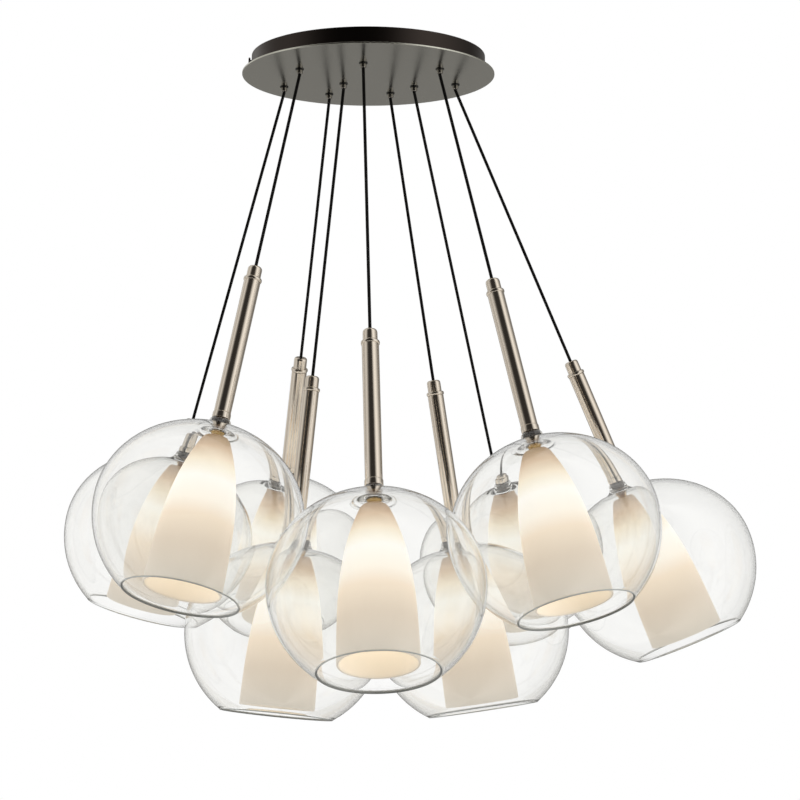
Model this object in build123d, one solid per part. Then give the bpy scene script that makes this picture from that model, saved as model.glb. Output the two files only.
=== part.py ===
from build123d import *
import math
import os

# Nine-light cluster pendant: a round ceiling canopy, nine cords, and nine clear glass
# globes that lean on each other, each with a frosted bell-shaped shade and a bulb inside.
# Frame: the origin is the centre of the canopy's ceiling face, +Z is up, so that
# everything hangs at -Z. The side that the room sees first is -Y, and +X is its right.
# All sizes are in millimetres.

# ---- ceiling canopy ----
plate_diameter = 322.0
plate_thickness = 2.0
plate_overhang = 12.0         # how far the plate stands out past the pan's wall
plate_edge_round = 0.5
pan_height = 22.0
pan_wall = 1.2
pan_corner_round = 0.8        # outside, where the wall turns into the flange
pan_flange_width = 10.0       # inward flange that the plate is bolted to

# ---- mounting bar, catch and lock screw ----
bar_width = 24.0
bar_thickness = 2.0
bar_end_gap = 3.0             # between the bar's bent ends and the pan's wall
bar_tab_drop = 12.0           # how far the bent ends reach down
bar_foot_length = 2.2         # outward foot of the right-hand end, under the catch
slot_spacing = 80.0           # ceiling-box screws, centre to centre
slot_length = 22.0
slot_width = 5.0
centre_hole_diameter = 10.5
lock_screw_diameter = 4.0
lock_head_diameter = 13.0
lock_head_thickness = 2.2
lock_head_bevel = 0.45
lock_shoulder_diameter = 7.0  # between the pan's wall and the knurled head
lock_shoulder_length = 1.8
lock_level = 7.0              # below the ceiling
lock_screw_grip = 2.5         # how far the tip passes the bar's bent end
catch_width = 10.0
catch_height = 5.0
catch_gap = 0.4               # between the catch and the bar's bent end
screw_clearance = 0.25        # radial

# ---- plate studs, their nuts, and the earth screw ----
stud_count = 4
stud_diameter = 4.0
stud_length = 6.0
stud_nut_flats = 7.0
stud_nut_height = 3.0
earth_screw_diameter = 3.5
earth_head_diameter = 7.5
earth_head_height = 2.2
earth_screw_place = 18.0      # along the bar from its centre

# ---- cord glands on the plate ----
gland_ring_diameter = 11.0
gland_ring_height = 1.2
nub_diameter = 8.0
nub_height = 5.0
nub_lip = 0.6                 # bevel at the nub's mouth
shank_diameter = 6.0
shank_clearance = 0.2         # radial, in the plate
gland_nut_flats = 10.0
gland_nut_height = 3.0
shank_stand = 1.0             # how far the shank stands past its nut
swing_gap = 0.3               # between the swinging cord's round end and the gland
pivot_drop = 1.3              # swing centre below the nub's face

# ---- cords and the wiring inside the canopy ----
cord_diameter = 4.0
cord_clearance = 0.25         # radial, in every hole that a cord passes
block_length = 58.0
block_width = 22.0
block_height = 13.0
block_centre_share = (0.19, -0.06)   # of the plate's radius
block_screw_diameter = 4.0
block_screw_height = 0.8
tail_bend = 4.5               # radius where a tail turns from its gland
tail_start = 0.5              # straight stretch above the gland, before the turn
tail_lead = 12.0              # straight stretch before the terminal block
corner_share = 0.45           # of the shorter run, taken up by a tail's wide bend

# ---- glass globes ----
globe_diameter = 250.0
globe_gap = 0.8               # least gap between the globes that lean together
dome_height = 111.0           # widest level up to the dome's top
bowl_height = 123.6           # widest level down to where the bowl would close
rim_diameter = 142.0
glass_wall = 3.0
rim_taper = 0.9               # the rim's width, as a share of the wall
neck_height = 10.0            # collar lip above the dome's top
neck_wall = 1.6
neck_foot = 14.0              # how far the collar's flare runs out over the dome
neck_clearance = 0.5          # radial, round the clamp nut
neck_curve = (0.22, 0.70)     # the flare's middle, as shares of its run and of its drop
rim_round = 1.0               # how far the rim's rounded edge stands below its corners
seat_margin = 1.0             # flat glass round the top of the brass spacer

# ---- frosted inner shades ----
shade_top_diameter = 31.5
shade_bottom_diameter = 94.0
shade_height = 192.0
shade_wall = 2.5
shade_outline = ((0.0, 0.0), (0.07, 0.20), (0.15, 0.38), (0.28, 0.62),
                 (0.45, 0.80), (0.70, 0.92), (1.0, 1.0))   # share of height, of flare

# ---- threaded nipple, clamp nut, brass spacer, lampholder and bulb ----
nipple_diameter = 10.0
nipple_bore = 6.5
nipple_end = 2.0              # how far it stands above the stem's collar
thread_clearance = 0.15       # radial, of all that the nipple passes through
nut_diameter = 21.7
nut_rise = 2.0                # how far the clamp nut stands out of the glass collar
spacer_height = 8.0
spacer_top_diameter = 18.0
spacer_bottom_diameter = 12.5
spacer_waist = 0.6            # how far its side is hollowed
socket_diameter = 17.0
socket_height = 26.0
socket_recess = 3.0
socket_bevel = 0.8
pin_spacing = 9.0
pin_diameter = 1.2
pin_length = 8.0
bulb_base_height = 9.0
bulb_base_width = 6.5
bulb_base_length = 13.4
bulb_diameter = 16.5
bulb_length = 42.0            # the frosted capsule alone
bulb_shoulder = 5.0

# ---- metal stems ----
tube_diameter = 20.5
tube_wall = 1.5
collar_height = 8.0
collar_diameter = 22.0
collar_bevel = 0.75
bead_diameter = 22.6
bead_height = 5.0
bead_round = 1.75
cap_diameter = 17.6
cap_height = 15.0
cap_wall = 3.0
cap_round = 4.0
cap_straight = 2.0            # least straight side under a cap's shoulder
long_tube = 175.0
middle_tube = 135.0
tall_cap = 28.0               # the short stem is this cap alone
nub_cap = 6.0                 # what shows where a cord runs straight to its globe

# ---- how the cluster hangs ----
# Each pendant: its gland, as shares of the plate's radius; its globe's centre across and
# away, in globe spacings; how many spacings it hangs below the highest one; its stem.
top_drop = 575.0              # the plate's underside down to the highest globe's centre
pendants = {
    1: ((-0.68, 0.36), (-1.08, 0.57), 0.02, "tall cap"),
    2: ((-0.54, -0.21), (-0.79, -0.74), 0.00, "long"),
    3: ((-0.32, 0.60), (-0.49, 1.38), 0.07, "middle"),
    4: ((-0.20, 0.25), (-0.41, 0.02), 0.53, "long"),
    5: ((-0.04, -0.41), (0.04, -1.19), 0.35, "long"),
    6: ((0.18, 0.56), (0.53, 0.37), 0.51, "long"),
    7: ((0.37, 0.34), (0.80, 1.24), 0.09, "nub"),
    8: ((0.56, -0.23), (0.88, -0.73), 0.06, "long"),
    9: ((0.70, 0.27), (1.48, 0.29), 0.19, "middle"),
}

# ---- what follows from the sizes above ----
plate_radius = plate_diameter / 2
pan_radius = plate_radius - plate_overhang
plate_top = -pan_height
plate_face = plate_top - plate_thickness
nub_face = plate_face - gland_ring_height - nub_height
pivot_height = nub_face - pivot_drop
cord_radius = cord_diameter / 2
cord_hole = cord_diameter + 2 * cord_clearance
thread_hole = nipple_diameter + 2 * thread_clearance
globe_radius = globe_diameter / 2
globe_inner_radius = globe_radius - glass_wall
spacing = globe_diameter + globe_gap
seat_pad = spacer_top_diameter / 2 + seat_margin
widest_level = neck_height + dome_height          # below the glass lip


def ellipse_point(radius, height, x):
    """The height above its centre of an upright ellipse at a distance x from its axis."""
    return height * math.sqrt(1 - (x / radius) ** 2)


floor_level = ellipse_point(globe_inner_radius, dome_height - glass_wall, seat_pad) - widest_level
shade_level = floor_level - spacer_height         # top of the frosted shade
socket_level = shade_level - shade_wall           # top of the lampholder
seat_level = socket_level - socket_recess         # where the nipple and cord end
collar_level = nut_rise + collar_height           # top of the stem's collar
nipple_rise = collar_level + nipple_end
pan_inner_radius = pan_radius - pan_wall
bar_reach = pan_inner_radius - bar_end_gap        # outer face of the bar's bent ends
flange_circle = pan_inner_radius - pan_flange_width / 2
gland_top = plate_top + gland_nut_height + shank_stand
tail_level = gland_top + tail_bend + tail_start
block_x = block_centre_share[0] * plate_radius
block_y = block_centre_share[1] * plate_radius

os.makedirs("parts", exist_ok=True)


def save(name, solids):
    """Write one node, which may hold several separate solids."""
    export_step(Compound(children=list(solids)), f"parts/{name}.step")


def drum(diameter, bottom, top, x=0.0, y=0.0):
    """An upright cylinder between two levels."""
    return Pos(x, y, (bottom + top) / 2) * Cylinder(diameter / 2, top - bottom)


def hexagon(flats, bottom, top, x=0.0, y=0.0):
    """An upright hexagonal bar between two levels."""
    sketch = Pos(x, y, bottom) * RegularPolygon(flats / 2, 6, major_radius=False)
    return extrude(sketch, top - bottom)


def turned(*edges):
    """The solid that a closed outline of (radius, height) edges turns about Z."""
    return revolve(make_face(Plane.XZ * Curve(children=list(edges))), Axis.Z)


def ellipse_arc(radius, height, x_from, x_to, upper):
    """Part of an ellipse about the globe's centre, between two distances from the axis.

    It is exact: the middle control point is where the end tangents cross, and its weight
    is the cosine of half the turn.
    """
    sign = 1 if upper else -1
    first, last = sign * math.acos(x_from / radius), sign * math.acos(x_to / radius)
    weight = math.cos((last - first) / 2)

    def control(angle, reach):
        return radius * math.cos(angle) * reach, height * math.sin(angle) * reach - widest_level

    return Bezier(control(first, 1), control((first + last) / 2, 1 / weight),
                  control(last, 1), weights=[1, weight, 1])


def glass_globe():
    """A clear globe: an open bowl, a dome with a hole, and an upstanding flared collar."""
    inner = globe_inner_radius
    hole = thread_hole / 2
    bore = nut_diameter / 2 + neck_clearance
    lip = bore + neck_wall
    foot = lip + neck_foot
    foot_z = ellipse_point(globe_radius, dome_height, foot) - widest_level
    rim = rim_diameter / 2
    rim_inner = rim - glass_wall * rim_taper
    rim_z = -widest_level - ellipse_point(globe_radius, bowl_height, rim)
    rim_inner_z = -widest_level - ellipse_point(inner, bowl_height - glass_wall, rim_inner)
    rim_middle = ((rim + rim_inner) / 2, min(rim_z, rim_inner_z) - rim_round)
    flare_middle = (lip + neck_foot * neck_curve[0], foot_z * neck_curve[1])
    return turned(
        Line((bore, 0), (lip, 0)),
        ThreePointArc((lip, 0), flare_middle, (foot, foot_z)),
        ellipse_arc(globe_radius, dome_height, foot, globe_radius, True),
        ellipse_arc(globe_radius, bowl_height, rim, globe_radius, False),
        ThreePointArc((rim, rim_z), rim_middle, (rim_inner, rim_inner_z)),
        ellipse_arc(inner, bowl_height - glass_wall, rim_inner, inner, False),
        ellipse_arc(inner, dome_height - glass_wall, seat_pad, inner, True),
        Line((seat_pad, floor_level), (hole, floor_level)),
        Line((hole, floor_level), (hole, -neck_height)),
        Line((hole, -neck_height), (bore, -neck_height)),
        Line((bore, -neck_height), (bore, 0)),
    )


def shade_curve(inset):
    """The bell's side, drawn in from the outer surface by inset, from top to bottom."""
    top = shade_top_diameter / 2 - inset
    bottom = shade_bottom_diameter / 2 - inset
    start = shade_level - inset
    drop = shade_height - inset
    return Spline(*[(top + (bottom - top) * flare, start - drop * share)
                    for share, flare in shade_outline])


def inner_shade():
    """A frosted bell with a flat top that the lampholder clamps, open at the bottom."""
    side, lining = shade_curve(0), shade_curve(shade_wall)
    hole = thread_hole / 2
    return turned(
        Line((hole, shade_level), side @ 0),
        side,
        Line(side @ 1, lining @ 1),
        lining,
        Line(lining @ 0, (hole, socket_level)),
        Line((hole, socket_level), (hole, shade_level)),
    )


def lampholder():
    """The threaded nipple, the brass spacer under the glass, and the socket body."""
    nipple = drum(nipple_diameter, seat_level, nipple_rise) \
        - drum(nipple_bore, seat_level - 1, nipple_rise + 1)
    top, low, hole = spacer_top_diameter / 2, spacer_bottom_diameter / 2, thread_hole / 2
    spacer = turned(
        Line((hole, floor_level), (top, floor_level)),
        ThreePointArc((top, floor_level),
                      ((top + low) / 2 - spacer_waist, floor_level - spacer_height / 2),
                      (low, shade_level)),
        Line((low, shade_level), (hole, shade_level)),
        Line((hole, shade_level), (hole, floor_level)),
    )
    body = drum(socket_diameter, socket_level - socket_height, socket_level)
    body -= drum(thread_hole, seat_level, socket_level + 1)
    body = chamfer(body.edges().filter_by(GeomType.CIRCLE).group_by(Axis.Z)[0], socket_bevel)
    foot = socket_level - socket_height
    for x in (-pin_spacing / 2, pin_spacing / 2):
        body -= drum(pin_diameter + 2 * screw_clearance, foot - 1, foot + pin_length + 1, x)
    return [nipple, spacer, body]


def bulb():
    """A two-pin capsule bulb: pins and flat base, and a frosted capsule below them."""
    foot = socket_level - socket_height
    base_low = foot - bulb_base_height
    pins = [drum(pin_diameter, foot, foot + pin_length, x)
            for x in (-pin_spacing / 2, pin_spacing / 2)]
    base = Pos(0, 0, (foot + base_low) / 2) * Box(
        bulb_base_length, bulb_base_width, bulb_base_height)
    radius = bulb_diameter / 2
    side_low = base_low - bulb_length + radius
    capsule = drum(bulb_diameter, side_low, base_low)
    capsule = fillet(capsule.edges().group_by(Axis.Z)[-1], bulb_shoulder)
    capsule += Pos(0, 0, side_low) * Sphere(radius)
    return pins + [base, capsule]


def rounded_cap(height, bottom):
    """The stem's cap: a cup with a rounded shoulder and a hole for the cord."""
    cap = drum(cap_diameter, bottom, bottom + height)
    cap = fillet(cap.edges().group_by(Axis.Z)[-1], min(cap_round, height - cap_straight))
    cap -= drum(cap_diameter - 2 * cap_wall, bottom - 1, bottom + height - cap_wall)
    return cap - drum(cord_hole, bottom, bottom + height + 1)


def stem(kind):
    """The clamp nut, its collar, and the tube with bead ring and cap, or a cap alone."""
    thread = drum(thread_hole, -neck_height - 1, nipple_rise + 1)
    nut = drum(nut_diameter, -neck_height, nut_rise) - thread
    collar = Pos(0, 0, nut_rise) * extrude(Circle(collar_diameter / 2), collar_height)
    collar = chamfer(collar.edges().group_by(Axis.Z)[-1], collar_bevel)
    pieces = [nut, collar - thread]
    if kind in ("long", "middle"):
        length = long_tube if kind == "long" else middle_tube
        bore = tube_diameter - 2 * tube_wall
        top = collar_level + length
        tube = drum(tube_diameter, collar_level, top) - drum(bore, collar_level - 1, top + 1)
        bead = Pos(0, 0, top) * extrude(Circle(bead_diameter / 2), bead_height)
        bead = fillet(bead.edges().filter_by(GeomType.CIRCLE), bead_round)
        bead -= drum(cap_diameter - 2 * cap_wall, top - 1, top + bead_height + 1)
        return pieces + [tube, bead, rounded_cap(cap_height, top + bead_height)]
    height = tall_cap if kind == "tall cap" else nub_cap
    return pieces + [rounded_cap(height, collar_level)]


def stem_top(kind):
    """The level of a stem's top above the glass lip."""
    heights = {"long": long_tube + bead_height + cap_height,
               "middle": middle_tube + bead_height + cap_height,
               "tall cap": tall_cap, "nub": nub_cap}
    return collar_level + heights[kind]


def canopy_pan():
    """The drum wall with its inward flange, and the catch inside its right-hand end."""
    wall = drum(2 * pan_radius, plate_top, 0)
    wall = fillet(wall.edges().filter_by(GeomType.CIRCLE).group_by(Axis.Z)[0], pan_corner_round)
    wall -= drum(2 * pan_inner_radius, plate_top + pan_wall, 1)
    wall -= drum(2 * (pan_inner_radius - pan_flange_width), plate_top - 1, 0)
    for x, y in stud_places():
        wall -= drum(stud_diameter + 2 * screw_clearance, plate_top - 1, 0, x, y)
    lock_hole = lock_screw_diameter + 2 * screw_clearance
    wall -= Pos(-pan_radius, 0, -lock_level) * Rot(0, 90, 0) * Cylinder(lock_hole / 2, 4 * pan_wall)
    depth = bar_end_gap - catch_gap
    catch = Pos(pan_inner_radius - depth / 2 + pan_wall / 2, 0, foot_top() + catch_height / 2) \
        * Box(depth + pan_wall, catch_width, catch_height)
    catch &= drum(2 * pan_inner_radius, -pan_height, 0)
    return [wall, catch]


def foot_top():
    """The level of the ledge on the bar's right-hand end, which the catch rests on."""
    return bar_thickness - bar_tab_drop


def stud_places():
    """Where the plate's studs pass the pan's flange."""
    turns = [math.radians(360 * (i + 0.5) / stud_count) for i in range(stud_count)]
    return [(flange_circle * math.cos(a), flange_circle * math.sin(a)) for a in turns]


def gland_place(number):
    """A gland's centre on the plate."""
    share_x, share_y = pendants[number][0]
    return share_x * plate_radius, share_y * plate_radius


def canopy_plate():
    """The thin round plate that shows from below, with its gland holes and welded studs."""
    plate = drum(plate_diameter, plate_face, plate_top)
    plate = fillet(plate.edges().filter_by(GeomType.CIRCLE), plate_edge_round)
    for number in pendants:
        x, y = gland_place(number)
        plate -= drum(shank_diameter + 2 * shank_clearance, plate_face - 1, plate_top + 1, x, y)
    for x, y in stud_places():
        plate += drum(stud_diameter, plate_top, plate_top + stud_length, x, y)
    return [plate]


def cord_gland(x, y):
    """A black ring, a nickel nub with its shank through the plate, and the nut inside."""
    ring_face = plate_face - gland_ring_height
    ring = drum(gland_ring_diameter, ring_face, plate_face, x, y) \
        - drum(shank_diameter + 2 * shank_clearance, ring_face - 1, plate_face + 1, x, y)
    nub = drum(nub_diameter, nub_face, ring_face)
    nub = chamfer(nub.edges().group_by(Axis.Z)[0], nub_lip)
    nub += drum(shank_diameter, ring_face, gland_top)
    nub -= drum(cord_hole, nub_face - 1, gland_top + 1)
    nub -= Pos(0, 0, pivot_height) * Sphere(cord_radius + swing_gap)
    nut = hexagon(gland_nut_flats, plate_top, plate_top + gland_nut_height, x, y)
    nut -= drum(shank_diameter, plate_top - 1, gland_top + 1, x, y)
    return [ring, Pos(x, y) * nub, nut]


def mounting_bar():
    """The slotted strap on the ceiling, with bent ends: one threaded, one with a foot."""
    strap = Pos(0, 0, -bar_thickness / 2) * Box(2 * bar_reach, bar_width, bar_thickness)
    tab = Box(bar_thickness, bar_width, bar_tab_drop)
    for side in (-1, 1):
        strap += Pos(side * (bar_reach - bar_thickness / 2), 0, -bar_tab_drop / 2) * tab
        slot = Pos(side * slot_spacing / 2, 0, -bar_thickness) * SlotOverall(slot_length, slot_width)
        strap -= extrude(slot, bar_thickness)
    foot_reach = bar_foot_length + bar_thickness
    strap += Pos(bar_reach + bar_foot_length - foot_reach / 2, 0, -bar_tab_drop + bar_thickness / 2) \
        * Box(foot_reach, bar_width, bar_thickness)
    strap -= drum(centre_hole_diameter, -bar_thickness - 1, 1)
    strap -= drum(earth_screw_diameter, -bar_thickness - 1, 1, earth_screw_place)
    strap -= Pos(-bar_reach, 0, -lock_level) * Rot(0, 90, 0) \
        * Cylinder(lock_screw_diameter / 2, 4 * bar_thickness)
    return [strap]


def canopy_fasteners():
    """The knurled lock screw, the plate's nuts, and the earth screw on the bar."""
    inner = -bar_reach + bar_thickness + lock_screw_grip
    outer = -pan_radius - lock_shoulder_length
    across = Pos(0, 0, -lock_level) * Rot(0, 90, 0)
    shank = across * Pos(0, 0, (inner + outer) / 2) \
        * Cylinder(lock_screw_diameter / 2, inner - outer)
    shoulder = across * Pos(0, 0, outer + lock_shoulder_length / 2) \
        * Cylinder(lock_shoulder_diameter / 2, lock_shoulder_length)
    head = across * Pos(0, 0, outer - lock_head_thickness / 2) \
        * Cylinder(lock_head_diameter / 2, lock_head_thickness)
    head = chamfer(head.edges().filter_by(GeomType.CIRCLE), lock_head_bevel)
    pieces = [shank + shoulder + head]
    top = plate_top + pan_wall
    for x, y in stud_places():
        nut = hexagon(stud_nut_flats, top, top + stud_nut_height, x, y)
        pieces.append(nut - drum(stud_diameter, top - 1, top + stud_length, x, y))
    earth = drum(earth_head_diameter, -bar_thickness - earth_head_height, -bar_thickness,
                 earth_screw_place)
    earth += drum(earth_screw_diameter, -bar_thickness, 0, earth_screw_place)
    return pieces + [earth]


def terminal_places():
    """Each pendant's place along the terminal block, and the side it enters from."""
    places = {}
    rows = {1: (1, 4, 3, 6, 7, 9), -1: (2, 5, 8)}     # far and near side, from left to right
    for side, row in rows.items():
        pitch = block_length / len(row)
        for i, number in enumerate(row):
            x = block_x + (i - (len(row) - 1) / 2) * pitch
            places[number] = (x, block_y + side * block_width / 2, side)
    return places


def corner_radius(before, corner, after):
    """The radius of a bend that takes up a set share of the shorter of its two runs."""
    first, second = corner - before, after - corner
    turn = math.radians(first.get_angle(second))
    return corner_share * min(first.length, second.length) / math.tan(turn / 2)


def cord_tail(number):
    """The fixed end of a cord: up through its gland, across, and into the terminal block."""
    x, y = gland_place(number)
    to_x, to_y, side = terminal_places()[number]
    start = Vector(x, y, pivot_height + cord_radius + swing_gap)
    rise = Vector(x, y, tail_level)
    lead = Vector(to_x, to_y + side * tail_lead, tail_level)
    end = Vector(to_x, to_y, tail_level)
    radii = [tail_bend, corner_radius(rise, lead, end)]
    path = FilletPolyline(start, rise, lead, end, radius=radii)
    print(f"cord tail {number}: {path.length:.1f} mm, radii {radii[0]:.1f} and {radii[1]:.1f}")
    return sweep(Plane(origin=start, z_dir=(0, 0, 1)) * Circle(cord_radius), path=path)


def canopy_wiring():
    """The terminal block with its screws, and the nine cords' fixed ends."""
    middle = plate_top + block_height / 2
    block = Pos(block_x, block_y, middle) * Box(block_length, block_width, block_height)
    top = plate_top + block_height
    screws = [drum(block_screw_diameter, top, top + block_screw_height, x,
                   y - side * block_width / 4)
              for x, y, side in terminal_places().values()]
    return [block] + screws + [cord_tail(number) for number in pendants]


def pendant_plane(number):
    """The plane of a globe's glass lip, square to its cord, and the swing centre above it."""
    (across, away), drop = pendants[number][1], pendants[number][2]
    x, y = gland_place(number)
    pivot = Vector(x, y, pivot_height)
    centre = Vector(across * spacing, away * spacing, plate_face - top_drop - drop * spacing)
    up = (pivot - centre).normalized()
    plane = Plane(origin=centre + up * widest_level, x_dir=(up.Z, 0, -up.X), z_dir=up)
    return plane, (pivot - centre).length - widest_level


def hanging_cord(reach):
    """One straight cord: a round end at the gland, and down the stem to the lampholder."""
    return drum(cord_diameter, seat_level, reach) + Pos(0, 0, reach) * Sphere(cord_radius)


save("canopy_pan", canopy_pan())
save("canopy_plate", canopy_plate())
save("mounting_bar", mounting_bar())
save("canopy_fasteners", canopy_fasteners())
save("canopy_wiring", canopy_wiring())
glands = []
for gland_number in pendants:
    glands += cord_gland(*gland_place(gland_number))
save("cord_glands", glands)

for pendant_number, (_, _, _, stem_kind) in pendants.items():
    lip_plane, reach = pendant_plane(pendant_number)
    pieces_of = {
        "cord": [hanging_cord(reach)],
        "stem": stem(stem_kind),
        "lampholder": lampholder(),
        "globe": [glass_globe()],
        "shade": [inner_shade()],
        "bulb": bulb(),
    }
    for piece_name, solids in pieces_of.items():
        save(f"{piece_name}_{pendant_number}", [lip_plane.location * one for one in solids])
    lean = math.degrees(math.acos(lip_plane.z_dir.Z))
    print(f"pendant {pendant_number}: cord {reach - seat_level:.0f} mm, "
          f"{reach - stem_top(stem_kind):.0f} mm of it above the stem, leans {lean:.1f} degrees")
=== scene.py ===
# %% [markdown]
# # A cluster pendant of nine clear glass globes
# Nine cords hang from one round ceiling canopy, and each carries a metal stem, a clear globe
# and, inside the globe, a frosted bell with a lit bulb. The globes lean on each other, so
# most cords hang at a slant. Everything round is a surface of revolution: an outline of
# (radius, height) points that numpy turns about the pendant's own leaning axis.

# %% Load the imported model
import math

import bmesh
import bpy
import numpy as np
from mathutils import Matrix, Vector


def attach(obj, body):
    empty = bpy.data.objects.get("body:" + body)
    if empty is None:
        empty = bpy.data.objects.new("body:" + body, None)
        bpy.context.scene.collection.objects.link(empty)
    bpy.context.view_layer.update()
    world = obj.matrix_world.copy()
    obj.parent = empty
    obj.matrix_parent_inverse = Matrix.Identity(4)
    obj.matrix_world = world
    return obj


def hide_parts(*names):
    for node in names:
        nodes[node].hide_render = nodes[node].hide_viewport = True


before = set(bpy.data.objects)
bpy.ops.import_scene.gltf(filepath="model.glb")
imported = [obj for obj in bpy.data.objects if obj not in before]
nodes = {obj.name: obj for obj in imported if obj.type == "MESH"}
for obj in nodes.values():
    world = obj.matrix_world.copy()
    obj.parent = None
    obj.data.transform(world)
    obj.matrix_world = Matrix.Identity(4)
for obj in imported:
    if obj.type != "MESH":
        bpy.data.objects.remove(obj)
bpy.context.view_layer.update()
MM = 0.001

# %% [markdown]
# ## The camera
# The photograph looks up a little at the canopy's underside, from about three metres away,
# with a long lens. A camera that turns and tilts keeps the picture free of any lens shift.

# %% Camera
camera_data = bpy.data.cameras.new("photo_camera")
camera_data.sensor_width = 36.0
camera_data.lens = 109.3
camera = bpy.data.objects.new("photo_camera", camera_data)
camera.location = (0.0, -3.034, -0.797)
CAMERA_TILT = 0.1169          # radians above the horizon
CAMERA_TURN = 0.0133          # radians towards +X
camera.rotation_euler = (math.pi / 2 + CAMERA_TILT, 0, -CAMERA_TURN)
bpy.context.scene.collection.objects.link(camera)
bpy.context.scene.camera = camera
pixel = camera_data.sensor_width / camera_data.lens * -camera.location.y / 800
print("where the canopy hangs, a pixel of the picture is", round(pixel / MM, 2), "mm wide")

# %% [markdown]
# ## Where the pendants hang
# Each pendant is straight: its swing centre at the canopy, its cord, its stem and its globe
# lie on one line. The places repeat the part's own layout, in the same shares: the gland on
# the plate in plate radii, the globe's centre in globe spacings, and how far it hangs below
# the highest, in globe spacings too.

# %% Layout
PLATE_RADIUS = 161 * MM
SPACING = 250.8 * MM
PLATE_FACE = -24 * MM
PIVOT_HEIGHT = -31.5 * MM
TOP_DROP = 575 * MM
WIDEST = 121 * MM             # the globe's widest level below its glass lip
PENDANTS = {
    1: ((-0.68, 0.36), (-1.08, 0.57), 0.02, "tall cap"),
    2: ((-0.54, -0.21), (-0.79, -0.74), 0.00, "long"),
    3: ((-0.32, 0.60), (-0.49, 1.38), 0.07, "middle"),
    4: ((-0.20, 0.25), (-0.41, 0.02), 0.53, "long"),
    5: ((-0.04, -0.41), (0.04, -1.19), 0.35, "long"),
    6: ((0.18, 0.56), (0.53, 0.37), 0.51, "long"),
    7: ((0.37, 0.34), (0.80, 1.24), 0.09, "nub"),
    8: ((0.56, -0.23), (0.88, -0.73), 0.06, "long"),
    9: ((0.70, 0.27), (1.48, 0.29), 0.19, "middle"),
}
print(len(PENDANTS), "pendants; the lowest globe hangs",
      round(max(drop for _, _, drop, _ in PENDANTS.values()) * SPACING, 3),
      "m below the highest")

# %% [markdown]
# ## Leaning axes
# A leaning piece is made upright and then placed: its points are counted along three square
# directions that lean with the pendant. All of a pendant's pieces share one such set.

# %% Axes
class Axis:
    """A place to turn pieces about: an origin and three square directions, the third upwards."""

    def __init__(self, origin, up=(0, 0, 1)):
        self.origin = np.array(origin, float)
        self.up = np.array(up, float) / np.linalg.norm(up)
        side = np.array([self.up[2], 0, -self.up[0]])
        self.side = side / np.linalg.norm(side)
        self.away = np.cross(self.up, self.side)

    def place(self, points):
        """Local (across, away, up) coordinates, in metres, as places in the model."""
        return (self.origin + points[..., :1] * self.side + points[..., 1:2] * self.away
                + points[..., 2:] * self.up)


axes, pivots = {}, {}
for number, (gland, globe, drop, stem_kind) in PENDANTS.items():
    pivot = np.array([gland[0] * PLATE_RADIUS, gland[1] * PLATE_RADIUS, PIVOT_HEIGHT])
    centre = np.array([globe[0] * SPACING, globe[1] * SPACING,
                       PLATE_FACE - TOP_DROP - drop * SPACING])
    up = (pivot - centre) / np.linalg.norm(pivot - centre)
    axes[number] = Axis(centre + up * WIDEST, up)
    pivots[number] = pivot
print("pendants lean", [round(math.degrees(math.acos(a.up[2])), 1) for a in axes.values()])

# %% [markdown]
# ## Colours and material nodes
# Colours are written as the hex values that a screen shows. Blender's shaders work in linear
# light, so one function turns them over. A second small function adds any node.

# %% Colour and node helpers
def colour(hex_value):
    """An sRGB hex value, such as 'c8c3bc', as linear red, green, blue and alpha."""
    screen = np.array([int(hex_value[i:i + 2], 16) for i in (0, 2, 4)]) / 255
    linear = np.where(screen <= 0.04045, screen / 12.92, ((screen + 0.055) / 1.055) ** 2.4)
    return (*linear.tolist(), 1.0)


def add_node(tree, kind, inputs=None, **settings):
    """Adds one node: inputs holds values, or the output sockets of other nodes."""
    node = tree.nodes.new(kind)
    for name, value in settings.items():
        setattr(node, name, value)
    for name, value in (inputs or {}).items():
        if isinstance(value, bpy.types.NodeSocket):
            tree.links.new(value, node.inputs[name])
        else:
            node.inputs[name].default_value = value
    return node


def new_material(name, **values):
    """A material with one Principled shader, whose own sockets take the values."""
    material = bpy.data.materials.new(name)
    material.use_nodes = True
    shader = material.node_tree.nodes["Principled BSDF"]
    for socket, value in values.items():
        shader.inputs[socket.replace("_", " ")].default_value = value
    return material, material.node_tree, shader


def ramp(tree, factor, stops, **settings):
    """A colour ramp with (position, colour) stops, fed by a factor."""
    node = add_node(tree, "ShaderNodeValToRGB", {"Fac": factor}, **settings)
    elements = node.color_ramp.elements
    while len(elements) < len(stops):
        elements.new(0.5)
    for element, (position, value) in zip(elements, stops):
        element.position = position
        element.color = value
    return node.outputs["Color"]


print("a screen's 808080 is", round(colour("808080")[0], 3), "in linear light")

# %% [markdown]
# ## Metal finishes
# Every metal here is thin plated or lacquered steel and brass. What tells them apart is the
# colour of the reflection and how far brushing or blasting blurs it, so each starts with
# metallic at 1 and differs in base colour and roughness.

# %% Metal helpers
def fine_grain(tree, size, depth, coordinates, stretch=(1, 1, 1)):
    """Bump from noise: size is the grain's width in metres, and stretch lengthens it."""
    place = add_node(tree, "ShaderNodeMapping",
                     {"Vector": coordinates, "Scale": [s / size for s in stretch]})
    noise = add_node(tree, "ShaderNodeTexNoise",
                     {"Vector": place.outputs["Vector"], "Scale": 1.0, "Detail": 3.0})
    bump = add_node(tree, "ShaderNodeBump",
                    {"Height": noise.outputs["Fac"], "Strength": 1.0, "Distance": depth})
    return noise.outputs["Fac"], bump.outputs["Normal"]


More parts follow.
